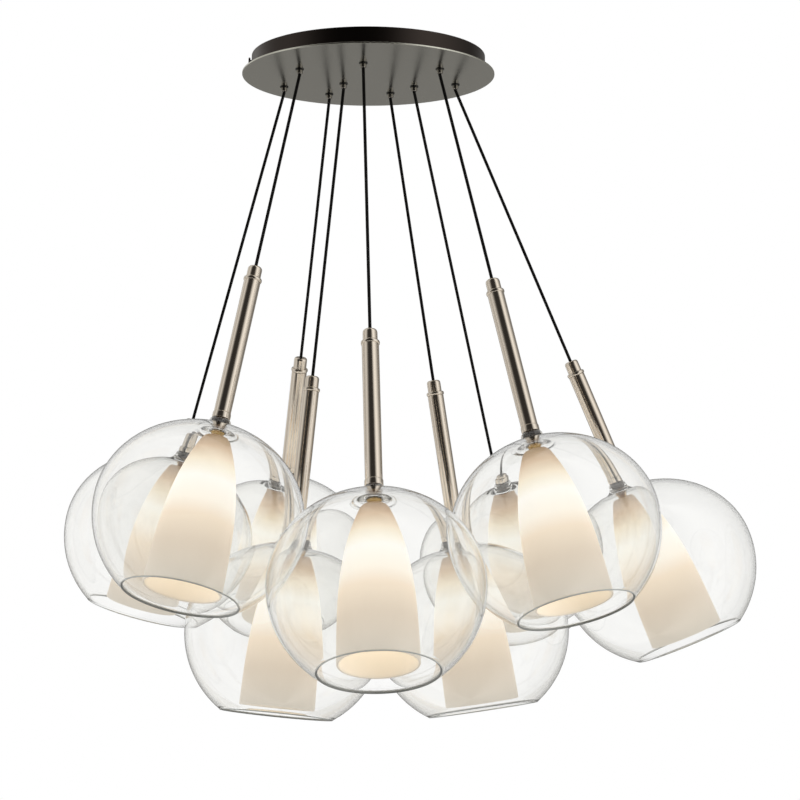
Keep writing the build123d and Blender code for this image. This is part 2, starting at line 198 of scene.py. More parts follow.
def metal(name, tint, roughness, grain_size, grain_depth, stretch=(1, 1, 1), use_uv=False):
    """A plated metal whose grain blurs its reflection a little more in some places."""
    material, tree, shader = new_material(name, Metallic=1.0, Base_Color=colour(tint))
    source = add_node(tree, "ShaderNodeTexCoord").outputs["UV" if use_uv else "Object"]
    grain, normal = fine_grain(tree, grain_size, grain_depth, source, stretch)
    spread = add_node(tree, "ShaderNodeMapRange",
                      {"Value": grain, "To Min": roughness * 0.85, "To Max": roughness * 1.15})
    tree.links.new(spread.outputs["Result"], shader.inputs["Roughness"])
    tree.links.new(normal, shader.inputs["Normal"])
    return material


print("a 4 mm grain has", round(1 / (4 * MM)), "noise cells in a metre")

# %% [markdown]
# ## The metals themselves
# Real blasting and brushing marks are 0.1 to 0.3 mm, too fine for a render where a pixel is
# more than 1 mm, so each grain here is drawn 2 to 4 mm wide and very shallow.

# %% Metals
# Satin nickel, bead blasted: a soft grey mirror.
satin_nickel_plate = metal("satin_nickel_blasted", "cfcfc5", 0.22, 3.0 * MM, 0.004 * MM)
# Gunmetal lacquer on spun steel: nearly black, with broad soft highlights.
gunmetal_pan = metal("gunmetal_lacquered_steel", "3b3532", 0.33, 4.0 * MM, 0.004 * MM)
# Nickel brushed round the tube: the lines run round it, so they stretch along U.
brushed_nickel = metal("nickel_brushed_round", "e4dacd", 0.16, 2.0 * MM, 0.002 * MM,
                       (0.004, 1, 1), use_uv=True)
# Nickel buffed bright: the collar and bead ring.
buffed_nickel = metal("nickel_buffed", "e0d7cb", 0.12, 4.0 * MM, 0.001 * MM)
# The gland nubs are a darker nickel than the stems.
gland_nickel = metal("nickel_gland_nubs", "8d8983", 0.15, 4.0 * MM, 0.001 * MM)
# Nickel in the shadow of the glass neck, given a dark tint: the nut's darkness is painted shade.
nut_painted_shade = metal("nickel_dark_painted_shade", "332f2c", 0.2, 4.0 * MM, 0.001 * MM)
# Polished brass: a warm yellow mirror, seen only through the glass.
polished_brass = metal("brass_polished", "b3925a", 0.14, 4.0 * MM, 0.001 * MM)
# Zinc-plated steel: a pale grey with a wide, dull highlight.
zinc_plate = metal("steel_zinc_plated", "b4b6b3", 0.38, 4.0 * MM, 0.006 * MM)
print("materials in the file:", len(bpy.data.materials))

# %% [markdown]
# ## Plastics, ceramic and cord
# The cord's jacket is soft black PVC, the gland rings are moulded nylon, and the socket is
# glazed steatite. None of them is a metal, so their sheen is white and their base has the
# colour.

# %% Plastics and ceramic
def moulded(name, tint, roughness, grain_size, grain_depth, gloss=0.5):
    """A plastic or ceramic with a fine moulded or fired texture."""
    material, tree, shader = new_material(name, Base_Color=colour(tint), Roughness=roughness,
                                          Specular_IOR_Level=gloss)
    source = add_node(tree, "ShaderNodeTexCoord").outputs["Object"]
    grain, normal = fine_grain(tree, grain_size, grain_depth, source)
    tree.links.new(normal, shader.inputs["Normal"])
    return material


# Extruded soft PVC: nearly black, with hardly any sheen.
pvc_cord = moulded("pvc_black_jacket", "080707", 0.55, 4.0 * MM, 0.004 * MM, gloss=0.2)
# Moulded nylon: black with a soft shine.
black_ring = moulded("nylon_black_moulded", "121211", 0.36, 2.0 * MM, 0.003 * MM)
# Glazed steatite, a ceramic: warm white and shiny.
steatite = moulded("steatite_white_glazed", "e9e6de", 0.22, 2.0 * MM, 0.01 * MM)
print("plastic and ceramic:", [m.name for m in (pvc_cord, black_ring, steatite)])

# %% [markdown]
# ## Wiring in the canopy
# The terminal block, its screws and the cords' fixed ends are one CAD node. A mask on the
# Object coordinates tells them apart: what lies in the block's own box is pale moulded
# polyamide, all else is a black cord, and the one level of the screws is metal.

# %% Wiring
def near(tree, value, middle, reach):
    """1 where a coordinate lies within a reach of a middle, and 0 elsewhere."""
    return add_node(tree, "ShaderNodeMath", {0: value, 1: middle, 2: reach},
                    operation="COMPARE").outputs[0]


BLOCK_MIDDLE, BLOCK_REACH = (30.59 * MM, -9.66 * MM), (29.1 * MM, 11.1 * MM)
SCREW_LEVEL, SCREW_HALF_HEIGHT = -8.6 * MM, 0.39 * MM
wiring = moulded("polyamide_block_pvc_cords", "dcd8cc", 0.45, 2.0 * MM, 0.008 * MM)
tree = wiring.node_tree
spot = add_node(tree, "ShaderNodeSeparateXYZ", {
    "Vector": add_node(tree, "ShaderNodeTexCoord").outputs["Object"]}).outputs
block = add_node(tree, "ShaderNodeMath",
                 {i: near(tree, spot["XY"[i]], BLOCK_MIDDLE[i], BLOCK_REACH[i]) for i in (0, 1)},
                 operation="MULTIPLY").outputs[0]
tint = add_node(tree, "ShaderNodeMix", {0: block, 6: colour("0f0e0d"), 7: colour("dcd8cc")},
                data_type="RGBA").outputs[2]
tree.links.new(tint, tree.nodes["Principled BSDF"].inputs["Base Color"])
tree.links.new(near(tree, spot["Z"], SCREW_LEVEL, SCREW_HALF_HEIGHT),
               tree.nodes["Principled BSDF"].inputs["Metallic"])
print("wiring has", len(tree.nodes), "material nodes")

# %% [markdown]
# ## Clear blown glass
# Soda glass is nearly colourless where it is looked through squarely. Towards a globe's outline
# the eye looks along the wall, which there bends and reflects the dark of the room, and a thin
# grey line shows. That grey line is painted shade: Layer Weight gives the angle, and a ramp turns
# it into a darker tint of the glass.

# %% Clear glass
def clear_glass(name, square_on, edge):
    """Soda glass whose tint deepens where the wall is seen edge on, as a painted shade line."""
    material, tree, shader = new_material(name, Roughness=0.0, IOR=1.5,
                                          Transmission_Weight=1.0)
    facing = add_node(tree, "ShaderNodeLayerWeight", {"Blend": 0.5}).outputs["Facing"]
    # The grey stops towards the outline are painted shade.
    tint = ramp(tree, facing, [(0.0, colour(square_on)), (0.76, colour(square_on)),
                               (0.90, colour("d0d3d1")), (1.0, colour(edge))])
    tree.links.new(tint, shader.inputs["Base Color"])
    return material


blown_glass = clear_glass("soda_glass_blown_painted_edge_shade", "fcfcfb", "909492")
# The rim is fire polished: melted round, it bends light so far that it reads as a grey line.
polished_lip, _, _ = new_material("soda_glass_fire_polished", Base_Color=colour("dfe3e1"),
                                  Roughness=0.12, IOR=1.5, Transmission_Weight=0.5)
print("glass:", blown_glass.name, "and", polished_lip.name)

# %% [markdown]
# ## Frosted glass with a bulb behind it
# Acid-etched opal glass scatters a bulb's light, so the bell glows most beside the bulb and turns
# tan at its cap, where the socket stands in the way. Both are painted as emission: the glow is
# painted light and the tan cap is painted shade. The UV map's V is the height down the bell, from
# 0 to 1, and a ramp along it gives that painted glow.

# %% Frosted glass and bulb
def glowing_glass(name, body, glow_stops, strength):
    """Frosted glass: a matt body, and light that leaves it in bands along the UV map's V; on the
    bells this emission is painted light, the bulb's glow with the socket's painted shade at the
    cap.
    """
    material, tree, shader = new_material(name, Base_Color=colour(body), Roughness=0.55,
                                          Emission_Strength=strength)
    uv = add_node(tree, "ShaderNodeTexCoord").outputs["UV"]
    height = add_node(tree, "ShaderNodeSeparateXYZ", {"Vector": uv}).outputs["Y"]
    glow = ramp(tree, height, [(at, colour(value)) for at, value in glow_stops])
    tree.links.new(glow, shader.inputs["Emission Color"])
    return material


# Painted light: the bulb's glow as emission on the outside and the lining, with painted shade, tan
# and darker, at the cap under the socket.
frosted_outside_painted_glow = glowing_glass("opal_glass_etched_painted_glow_outside", "8f8579", [
    (0.00, "86663f"), (0.10, "c2a685"), (0.20, "e8dcc4"), (0.32, "f5f4ec"), (0.47, "f1eadd"),
    (0.58, "e3d3bc"), (0.76, "cabca9"), (1.00, "c2bbae")], 1.0)
frosted_lining_painted_glow = glowing_glass("opal_glass_etched_painted_glow_inside", "e6e0d6", [
    (0.00, "8a7458"), (0.30, "fff4e0"), (0.55, "e2d8c6"), (1.00, "b0a797")], 0.55)
bulb_glass = glowing_glass("bulb_glass_frosted", "f4ead8", [
    (0.00, "fff3e0"), (1.00, "fff3e0")], 1.5)
print("materials in the file now:", len(bpy.data.materials))

# %% [markdown]
# ## Surfaces of revolution
# A surface needs a grid of points: rows along an outline, columns round an axis. Whole numpy
# arrays hold the grid, and four shifted copies of its numbering give every face at once.

# %% Grids
def grid_faces(rows, columns, closed):
    """Corner numbers of every quad of a grid that wraps round, and along too if closed."""
    i, j = np.meshgrid(np.arange(rows if closed else rows - 1), np.arange(columns), indexing="ij")
    i2, j2 = (i + 1) % rows, (j + 1) % columns
    return np.stack([i * columns + j, i * columns + j2, i2 * columns + j2, i2 * columns + j],
                    -1).reshape(-1, 4)


def grid_uv(rows, columns, closed, along):
    """U counts round from 0 to 1, and V takes the outline's own values, for each corner."""
    last = rows if closed else rows - 1
    v = np.append(along, along[0] if closed else [])
    i, j = np.meshgrid(np.arange(last), np.arange(columns), indexing="ij")
    corners = [(j, v[i]), (j + 1, v[i]), (j + 1, v[i + 1]), (j, v[i + 1])]
    return np.stack([np.stack([u / columns, w], -1) for u, w in corners], 2).reshape(-1, 2)


def turned_grid(outline, axis, columns=64, across=None):
    """Turns an outline: a point is (r cos a, r sin a, height), with r scaled by across(a)."""
    angle = np.arange(columns) * 2 * math.pi / columns
    scale = np.ones(columns) if across is None else across(angle)
    radius = outline[:, :1] * scale
    height = np.repeat(outline[:, 1:], columns, axis=1)
    return axis.place(np.stack([radius * np.cos(angle), radius * np.sin(angle), height], -1))


print("a closed grid of 8 rows and 64 columns has", len(grid_faces(8, 64, True)), "faces")

# %% [markdown]
# ## From grids to pieces
# One piece may hold several shells, each with its own material. The poles of a turned surface
# are many points in one place, so doubles are merged, and then all faces are made to look
# outwards. Riding a body lets the piece move with its pendant.

# %% Pieces
def add_piece(name, body, shells):
    """One object from several shells, each a (grid, closed, V values, material) tuple."""
    points, faces, uvs, slots, materials, start = [], [], [], [], [], 0
    for grid, closed, along, material in shells:
        rows, columns = grid.shape[:2]
        quads = grid_faces(rows, columns, closed)
        points.append(grid.reshape(-1, 3))
        faces.append(quads + start)
        uvs.append(grid_uv(rows, columns, closed, along))
        if material not in materials:
            materials.append(material)
        slots.append(np.full(len(quads), materials.index(material)))
        start += rows * columns
    mesh = bpy.data.meshes.new(name)
    mesh.from_pydata(np.concatenate(points).tolist(), [], np.concatenate(faces).tolist())
    mesh.uv_layers.new(name="UVMap").data.foreach_set("uv", np.concatenate(uvs).ravel())
    mesh.polygons.foreach_set("material_index", np.concatenate(slots).astype(np.int32))
    for material in materials:
        mesh.materials.append(material)
    tidy = bmesh.new()
    tidy.from_mesh(mesh)
    bmesh.ops.remove_doubles(tidy, verts=tidy.verts, dist=1e-6)
    bmesh.ops.recalc_face_normals(tidy, faces=tidy.faces)
    tidy.to_mesh(mesh)
    tidy.free()
    mesh.shade_smooth()
    piece = bpy.data.objects.new(name, mesh)
    bpy.context.scene.collection.objects.link(piece)
    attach(piece, body)
    return piece


print("bodies that pieces can ride:", len(PENDANTS), "pendants and the canopy")

# %% [markdown]
# ## Outlines
# Real edges are never sharp: a small round on each corner catches the light as a thin line.
# An outline is written as its corners, and one function rounds the ones that need it.

# %% Outline helpers
def rounded(corners, radii, steps=5):
    """Each corner with a radius becomes a bend between the points that far from it on its two
    sides: it weighs the first by (1 - t) squared, the corner by 2 t (1 - t), the last by t
    squared, as t runs from 0 to 1."""
    corners = np.array(corners, float)
    out = []
    for k, (corner, radius) in enumerate(zip(corners, radii)):
        if radius == 0:
            out.append(corner[None])
            continue
        before, after = corners[k - 1] - corner, corners[(k + 1) % len(corners)] - corner
        first = corner + before / np.linalg.norm(before) * radius
        last = corner + after / np.linalg.norm(after) * radius
        t = np.linspace(0, 1, steps)[:, None]
        out.append((1 - t) ** 2 * first + 2 * t * (1 - t) * corner + t ** 2 * last)
    return np.concatenate(out) * MM


def arc_through(a, b, c, steps):
    """Points on the circle through three points: its centre is as far from each of them."""
    a, b, c = (np.array(p, float) for p in (a, b, c))
    centre = np.linalg.solve(2 * np.array([b - a, c - a]), [b @ b - a @ a, c @ c - a @ a])
    first, _, last = np.unwrap([math.atan2(*(p - centre)[::-1]) for p in (a, b, c)])
    turn = np.linspace(first, last, steps)
    return centre + np.linalg.norm(a - centre) * np.column_stack([np.cos(turn), np.sin(turn)])


def length_along(outline):
    """The distance from an outline's start to each of its points, in metres."""
    return np.append(0, np.cumsum(np.linalg.norm(np.diff(outline, axis=0), axis=1)))


def ring(outline, axis, material, columns=64, across=None):
    """A shell from an outline that closes on itself, as a tube's section does."""
    return turned_grid(outline, axis, columns, across), True, length_along(outline), material


def solid(outline, axis, material, columns=64):
    """A shell from an outline that starts and ends on the axis."""
    return turned_grid(outline, axis, columns), False, length_along(outline), material


print("a square bar with 1 mm rounds has",
      len(rounded([(0, 0), (4, 0), (4, 4), (0, 4)], [1] * 4)), "outline points")

# %% [markdown]
# ## The cords
# A cord that carries a weight hangs straight, so its curve needs only its two ends and its
# middle. It runs from just under the gland, where it swings, down through the stem to the
# socket.

# %% Cords
CORD_DIAMETER = 4.0 * MM
CORD_TOP = 0.9 * MM            # above the swing centre, just short of the gland's face
SEAT_LEVEL = -26.86 * MM       # where the cord ends, below the glass lip

for number, axis in axes.items():
    low = axis.origin + axis.up * SEAT_LEVEL
    high = pivots[number] + axis.up * CORD_TOP
    curve = bpy.data.curves.new(f"cord_line_{number}", "CURVE")
    curve.dimensions = "3D"
    curve.bevel_depth = CORD_DIAMETER / 2
    curve.bevel_resolution = 6
    curve.use_fill_caps = True
    spline = curve.splines.new("NURBS")
    spline.points.add(2)
    for point, place in zip(spline.points, (high, (high + low) / 2, low)):
        point.co = (*place, 1.0)
    spline.order_u = 3
    spline.use_endpoint_u = True
    curve.materials.append(pvc_cord)
    cord = bpy.data.objects.new(f"cord_line_{number}", curve)
    bpy.context.scene.collection.objects.link(cord)
    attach(cord, f"pendant_{number}")
    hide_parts(f"cord_{number}")
print("from swing centre to glass lip, in m:",
      [round(float(np.linalg.norm(pivots[n] - axes[n].origin)), 3) for n in axes])

# %% [markdown]
# ## The clear globes
# A globe is blown into a mould, so its bowl is a little deeper than its dome, and its foot is
# cut open and fire-polished round. The flared collar on top holds the stem's nut. The wall is
# a real 3 mm, because glass only looks like glass when light crosses both of its faces.

# %% Globe sizes
GLOBE_RADIUS, DOME_HEIGHT, BOWL_HEIGHT, GLASS_WALL = 125.0, 111.0, 123.6, 3.0
RIM_RADIUS, RIM_INNER, RIM_ROUND = 71.0, 68.3, 1.0
NECK_HEIGHT, NECK_BORE, NECK_LIP, NECK_FOOT = 10.0, 11.35, 12.95, 26.95
HOLE_RADIUS, SEAT_PAD = 5.15, 10.0
FLARE_OUT, FLARE_DOWN = 14 * 0.22, 0.70       # the collar's middle: how far out, and down
WIDEST_MM = WIDEST / MM


def half_height(radius, height, r):
    """An upright ellipse's height above its centre at a distance r from its axis: the full
    height times the root of 1 less the square of r over the radius."""
    return height * math.sqrt(1 - (r / radius) ** 2)


def ellipse(radius, height, start, end, steps):
    """Points (radius cos a, height sin a) about the globe's centre, between two distances r
    from its axis, where a is the angle whose cosine is r over the radius."""
    a = np.linspace(math.acos(start / radius), math.acos(end / radius), steps)
    return np.column_stack([radius * np.cos(a), height * np.sin(a) - WIDEST_MM])


print("a globe is", 2 * GLOBE_RADIUS, "mm across and its mouth", 2 * RIM_INNER, "mm")

# %% [markdown]
# ## The globe's outline
# The outline starts at the rim and runs up the inside, through the hole for the nipple, round
# the collar and down the outside. The flare under the collar is an arc of a circle.

# %% Globe outline
def globe_outlines():
    """The wall, up the inside from the rim and down the outside, and the rim's own round."""
    inner = GLOBE_RADIUS - GLASS_WALL
    foot = half_height(GLOBE_RADIUS, DOME_HEIGHT, NECK_FOOT) - WIDEST_MM
    rim = -WIDEST_MM - half_height(GLOBE_RADIUS, BOWL_HEIGHT, RIM_RADIUS)
    rim_in = -WIDEST_MM - half_height(inner, BOWL_HEIGHT - GLASS_WALL, RIM_INNER)
    floor = half_height(inner, DOME_HEIGHT - GLASS_WALL, SEAT_PAD) - WIDEST_MM
    flare = arc_through((NECK_LIP, 0), (NECK_LIP + FLARE_OUT, foot * FLARE_DOWN),
                        (NECK_FOOT, foot), 14)
    rim_middle = ((RIM_RADIUS + RIM_INNER) / 2, min(rim, rim_in) - RIM_ROUND)
    neck = rounded([(SEAT_PAD, floor), (HOLE_RADIUS, floor), (HOLE_RADIUS, -NECK_HEIGHT),
                    (NECK_BORE, -NECK_HEIGHT), (NECK_BORE, 0), (NECK_LIP, 0)],
                   [0, 0.3, 0.3, 0.8, 0.6, 0.6]) / MM
    wall = np.concatenate([
        ellipse(inner, GLASS_WALL - BOWL_HEIGHT, RIM_INNER, inner, 36),
        ellipse(inner, DOME_HEIGHT - GLASS_WALL, inner, SEAT_PAD, 40)[1:-1],
        neck,
        flare[1:],
        ellipse(GLOBE_RADIUS, DOME_HEIGHT, NECK_FOOT, GLOBE_RADIUS, 40)[1:],
        ellipse(GLOBE_RADIUS, -BOWL_HEIGHT, GLOBE_RADIUS, RIM_RADIUS, 36)[1:]])
    lip = arc_through((RIM_RADIUS, rim), rim_middle, (RIM_INNER, rim_in), 9)
    return wall * MM, lip * MM


globe_wall, globe_lip = globe_outlines()
print("globe outline has", len(globe_wall) + len(globe_lip), "points")

# %% [markdown]
# ## Nine globes
# Every globe is the same outline, turned about its own leaning axis. The wall and the rim are
# two shells that meet in one ring of points, so that each can have its own glass.

# %% Globes
for number, axis in axes.items():
    piece = add_piece(f"glass_globe_{number}", f"pendant_{number}", [
        (turned_grid(outline, axis, 128), False, length_along(outline), material)
        for outline, material in ((globe_wall, blown_glass), (globe_lip, polished_lip))])
    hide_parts(f"globe_{number}")
print("each globe has", len(piece.data.polygons), "faces")

# %% [markdown]
# ## The frosted bells
# Inside each globe hangs a tall bell. It flares fast below its cap and then runs nearly straight:
# one curve, a mix of a steep power and a straight line, gives both. The outside and the lining are
# two shells with their own finishes and painted glow, joined at the rim and the cap's hole.

# %% Bell curve
BELL_TOP, BELL_FOOT, BELL_HEIGHT, BELL_WALL = 15.75, 47.0, 192.0, 2.5
BELL_LEVEL = -21.36
FLARE_SHARE, FLARE_POWER = 0.88, 3.2
BELL_RIM_ROUND, CAP_EDGE, CAP_SHOULDER, CAP_DIP = 0.9, 2.5, 1.0, 0.3


def bell_side(inset, steps=60):
    """At a share s of the height down, the radius has grown by share (1 - (1 - s) ** power)
    of the whole flare, and by what is left of that share times s."""
    s = np.linspace(0, 1, steps)
    flare = FLARE_SHARE * (1 - (1 - s) ** FLARE_POWER) + (1 - FLARE_SHARE) * s
    radius = BELL_TOP + (BELL_FOOT - BELL_TOP) * flare - inset
    return np.column_stack([radius, BELL_LEVEL - inset - (BELL_HEIGHT - inset) * s])


print("halfway down, a bell is", round(2 * float(bell_side(0, 61)[30, 0]), 1), "mm across")

# %% [markdown]
# ## Nine bells
# Each bell's V values are its own share of the height, so the glow's bands lie level round it
# however the pendant leans.

# %% Bells
def bell_shells(axis):
    """The outside from the hole to the rim's middle, and the lining back up to the hole."""
    outside, lining = bell_side(0), bell_side(BELL_WALL)
    rim = arc_through(outside[-1],
                      (BELL_FOOT - BELL_WALL / 2, outside[-1][1] - BELL_RIM_ROUND),
                      lining[-1], 9)
    cap = np.array([(HOLE_RADIUS, BELL_LEVEL), (BELL_TOP - CAP_EDGE, BELL_LEVEL),
                    (BELL_TOP - CAP_SHOULDER, BELL_LEVEL - CAP_DIP)])
    under = np.array([(HOLE_RADIUS, BELL_LEVEL - BELL_WALL)])
    shells = []
    for outline, material in (
            (np.concatenate([cap, outside[1:], rim[1:5]]), frosted_outside_painted_glow),
            (np.concatenate([rim[4:-1], lining[::-1], under, cap[:1]]), frosted_lining_painted_glow)):
        down = (BELL_LEVEL - outline[:, 1]) / BELL_HEIGHT
        shells.append((turned_grid(outline * MM, axis, 96), False, np.clip(down, 0, 1), material))
    return shells


for number, axis in axes.items():
    piece = add_piece(f"frosted_bell_{number}", f"pendant_{number}", bell_shells(axis))
    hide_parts(f"shade_{number}")
print("each bell has", len(piece.data.polygons), "faces")

# %% [markdown]
# ## Stems
# From below: a nut that sits in the glass collar, dark with painted shade, a bevelled collar, the
# brushed tube, a bead ring and a rounded cap with a hole for the cord. Four pendants differ: one
# shows a cap alone, one only a low nub, and two have a shorter tube.

# %% Stem outlines
NUT_RADIUS, COLLAR_RADIUS, TUBE_RADIUS, TUBE_BORE = 10.85, 11.0, 10.25, 8.75
BEAD_RADIUS, CAP_RADIUS, CAP_BORE, CORD_HOLE = 11.3, 8.8, 5.8, 2.25
NUT_TOP, COLLAR_TOP = 2.0, 10.0
TUBE_LENGTH = {"long": 175.0, "middle": 135.0}
CAP_HEIGHT = {"long": 15.0, "middle": 15.0, "tall cap": 28.0, "nub": 6.0}
BEAD_HEIGHT, BEAD_ROUND, CAP_WALL, CAP_ROUND, COLLAR_BEVEL = 5.0, 2.4, 3, 4, 0.75


def cap_outline(low, height):
    """A cup with a rounded shoulder: up the outside, over to the cord's hole, back inside."""
    high = low + height
    return rounded([(CAP_BORE, low), (CAP_RADIUS, low), (CAP_RADIUS, high), (CORD_HOLE, high),
                    (CORD_HOLE, high - CAP_WALL), (CAP_BORE, high - CAP_WALL)],
                   [0, 0.3, CAP_ROUND, 0.5, 0.3, 0.3], 8)


def stem_shells(kind, axis):
    """Every turned piece of one stem, from the nut upwards."""
    shells = [
        ring(rounded([(HOLE_RADIUS, -NECK_HEIGHT), (NUT_RADIUS, -NECK_HEIGHT),
                      (NUT_RADIUS, NUT_TOP), (HOLE_RADIUS, NUT_TOP)], [0.2, 0.6, 0.4, 0.2]),
             axis, nut_painted_shade),
        ring(rounded([(HOLE_RADIUS, NUT_TOP), (COLLAR_RADIUS, NUT_TOP),
                      (COLLAR_RADIUS, COLLAR_TOP - COLLAR_BEVEL), (TUBE_RADIUS, COLLAR_TOP),
                      (HOLE_RADIUS, COLLAR_TOP)], [0.2, 0.4, 0.4, 0.2, 0.2]),
             axis, buffed_nickel)]
    low = COLLAR_TOP
    if kind in TUBE_LENGTH:
        high = low + TUBE_LENGTH[kind]
        shells.append(ring(rounded([(TUBE_BORE, low), (TUBE_RADIUS, low), (TUBE_RADIUS, high),
                                    (TUBE_BORE, high)], [0.1, 0.3, 0.3, 0.1]),
                           axis, brushed_nickel))
        low = high + BEAD_HEIGHT
        shells.append(ring(rounded([(CAP_BORE, high), (BEAD_RADIUS, high), (BEAD_RADIUS, low),
                                    (CAP_BORE, low)], [0.1, BEAD_ROUND, BEAD_ROUND, 0.1], 8),
                           axis, buffed_nickel))
    shells.append(ring(cap_outline(low, CAP_HEIGHT[kind]), axis, brushed_nickel))
    return shells


print("a long stem stands", COLLAR_TOP + TUBE_LENGTH["long"] + BEAD_HEIGHT + CAP_HEIGHT["long"],
      "mm above the glass lip")

# %% [markdown]
# ## Nine stems
# The turned pieces of a stem are separate closed rings, as on the real one, in one object.

# %% Stems
for number, (_, _, _, stem_kind) in PENDANTS.items():
    piece = add_piece(f"nickel_stem_{number}", f"pendant_{number}",
                      stem_shells(stem_kind, axes[number]))
    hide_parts(f"stem_{number}")
print("stems:", [kind for _, _, _, kind in PENDANTS.values()])

# %% [markdown]
# ## Lampholders and bulbs
# A threaded brass nipple runs from the stem's collar through the glass, a brass funnel keeps
# globe and bell apart, and a white ceramic socket holds a frosted capsule bulb by two pins.

# %% Lampholder outlines
FLOOR_LEVEL = half_height(GLOBE_RADIUS - GLASS_WALL, DOME_HEIGHT - GLASS_WALL,
                          SEAT_PAD) - WIDEST_MM
SOCKET_HEIGHT, SOCKET_RADIUS, GROOVE_RADIUS, NIPPLE_RECESS = 26.0, 8.5, 7.9, 3
FUNNEL_TOP, FUNNEL_WAIST, FUNNEL_FOOT, FUNNEL_LIP = 9.0, 7.0, 6.25, 0.6
SOCKET_TOP = BELL_LEVEL - BELL_WALL
SOCKET_FOOT = SOCKET_TOP - SOCKET_HEIGHT


def funnel_outline():
    """A brass funnel: wide under the globe's glass, narrow on the bell, hollow sided."""
    side = arc_through((FUNNEL_TOP, FLOOR_LEVEL - FUNNEL_LIP),
                       (FUNNEL_WAIST, (FLOOR_LEVEL + BELL_LEVEL) / 2),
                       (FUNNEL_FOOT, BELL_LEVEL), 12)
    return np.concatenate([[(HOLE_RADIUS, FLOOR_LEVEL), (FUNNEL_TOP, FLOOR_LEVEL)], side,
                           [(HOLE_RADIUS, BELL_LEVEL)]]) * MM


def socket_outline():
    """The socket's body, with a shallow groove round it and a recess for the nipple on top."""
    high, low = SOCKET_TOP, SOCKET_FOOT
    corners = [(0, high - NIPPLE_RECESS), (HOLE_RADIUS, high - NIPPLE_RECESS),
               (HOLE_RADIUS, high), (SOCKET_RADIUS, high),
               (SOCKET_RADIUS, high - 8), (GROOVE_RADIUS, high - 9),
               (GROOVE_RADIUS, high - 10), (SOCKET_RADIUS, high - 11),
               (SOCKET_RADIUS, low), (0, low)]
    return rounded(corners, [0, 0.2, 0.2, 0.6, 0.3, 0.3, 0.3, 0.3, 0.8, 0])


print("the socket's foot is", round(-SOCKET_FOOT, 1), "mm below the glass lip")

# %% [markdown]
# ## The bulb
# A capsule bulb is a lit glass tube with a round end on a flat pinch, where its two pins come
# out. A superellipse, whose coordinates are powers of a cosine and a sine, gives the pinch.

# %% Bulb shapes
PINCH_WIDE, PINCH_THICK, PINCH_LONG, PINCH_POWER = 6.7, 3.25, 9.0, 0.4
BULB_RADIUS, BULB_LENGTH = 8.25, 42.0
PIN_RADIUS, PIN_REACH, PIN_APART = 0.6, 8, 4.5
BULB_TOP = SOCKET_FOOT - PINCH_LONG


def bulb_base(axis):
    """The pinch: half widths times the 0.4th power of a cosine and of a sine, with their
    signs kept, carried down the axis."""
    angle = np.arange(40) * 2 * math.pi / 40
    across = PINCH_WIDE * np.sign(np.cos(angle)) * np.abs(np.cos(angle)) ** PINCH_POWER
    away = PINCH_THICK * np.sign(np.sin(angle)) * np.abs(np.sin(angle)) ** PINCH_POWER
    level = np.array([0, 0, 0.5, PINCH_LONG - 0.5, PINCH_LONG, PINCH_LONG])[:, None]
    size = np.array([0, 0.9, 1, 1, 0.9, 0])[:, None]
    grid = np.stack([across * size, away * size, SOCKET_FOOT - level + 0 * across], -1) * MM
    return axis.place(grid), False, level[:, 0] * MM, bulb_glass


def capsule_outline():
    """The lit capsule: a rounded shoulder, a straight side and a half-round foot."""
    low = BULB_TOP - BULB_LENGTH + BULB_RADIUS
    a = np.linspace(0, math.pi / 2, 12)
    foot = np.column_stack([BULB_RADIUS * np.cos(a), low - BULB_RADIUS * np.sin(a)])
    shoulder = rounded([(0, BULB_TOP), (BULB_RADIUS, BULB_TOP), (BULB_RADIUS, low)],
                       [0, 4, 0], 8)[:-1] / MM
    return np.concatenate([shoulder, foot]) * MM


print("the bulb's foot is", round(BULB_LENGTH - BULB_TOP, 1), "mm below the glass lip")

# %% [markdown]
# ## Nine lampholders and bulbs
# The nipple is one closed ring, the funnel another, and the socket and the bulb are solids
# that start and end on the axis. Each bulb stands on two pins, side by side.

# %% Lampholders and bulbs
NIPPLE_BORE, NIPPLE_RADIUS, NIPPLE_STANDS = 3.25, 5.0, 2
nipple = rounded([(NIPPLE_BORE, SEAT_LEVEL / MM), (NIPPLE_RADIUS, SEAT_LEVEL / MM),
                  (NIPPLE_RADIUS, COLLAR_TOP + NIPPLE_STANDS),
                  (NIPPLE_BORE, COLLAR_TOP + NIPPLE_STANDS)], [0.2, 0.4, 0.4, 0.2])
pin = rounded([(0, SOCKET_FOOT + PIN_REACH), (PIN_RADIUS, SOCKET_FOOT + PIN_REACH),
               (PIN_RADIUS, SOCKET_FOOT), (0, SOCKET_FOOT)], [0, 0.2, 0, 0])

for number, axis in axes.items():
    piece = add_piece(f"brass_lampholder_{number}", f"pendant_{number}",
                      [ring(nipple, axis, polished_brass, 40),
                       ring(funnel_outline(), axis, polished_brass),
                       solid(socket_outline(), axis, steatite)])
    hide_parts(f"lampholder_{number}")
    pins = [Axis(axis.place(np.array([x * MM, 0, 0])), axis.up) for x in (-PIN_APART, PIN_APART)]
    piece = add_piece(f"capsule_bulb_{number}", f"pendant_{number}",
                      [solid(capsule_outline(), axis, bulb_glass, 48), bulb_base(axis)]
                      + [solid(pin, place, zinc_plate, 12) for place in pins])
    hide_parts(f"bulb_{number}")
print("each bulb has", len(piece.data.polygons), "faces")

# %% [markdown]
# ## The canopy
# The pan and the plate are spun steel, and their CAD solids already have the right shape, so
# they keep it and only take a finish. The glands are made again with soft edges, because
# each is a small bright thing that the eye goes to.

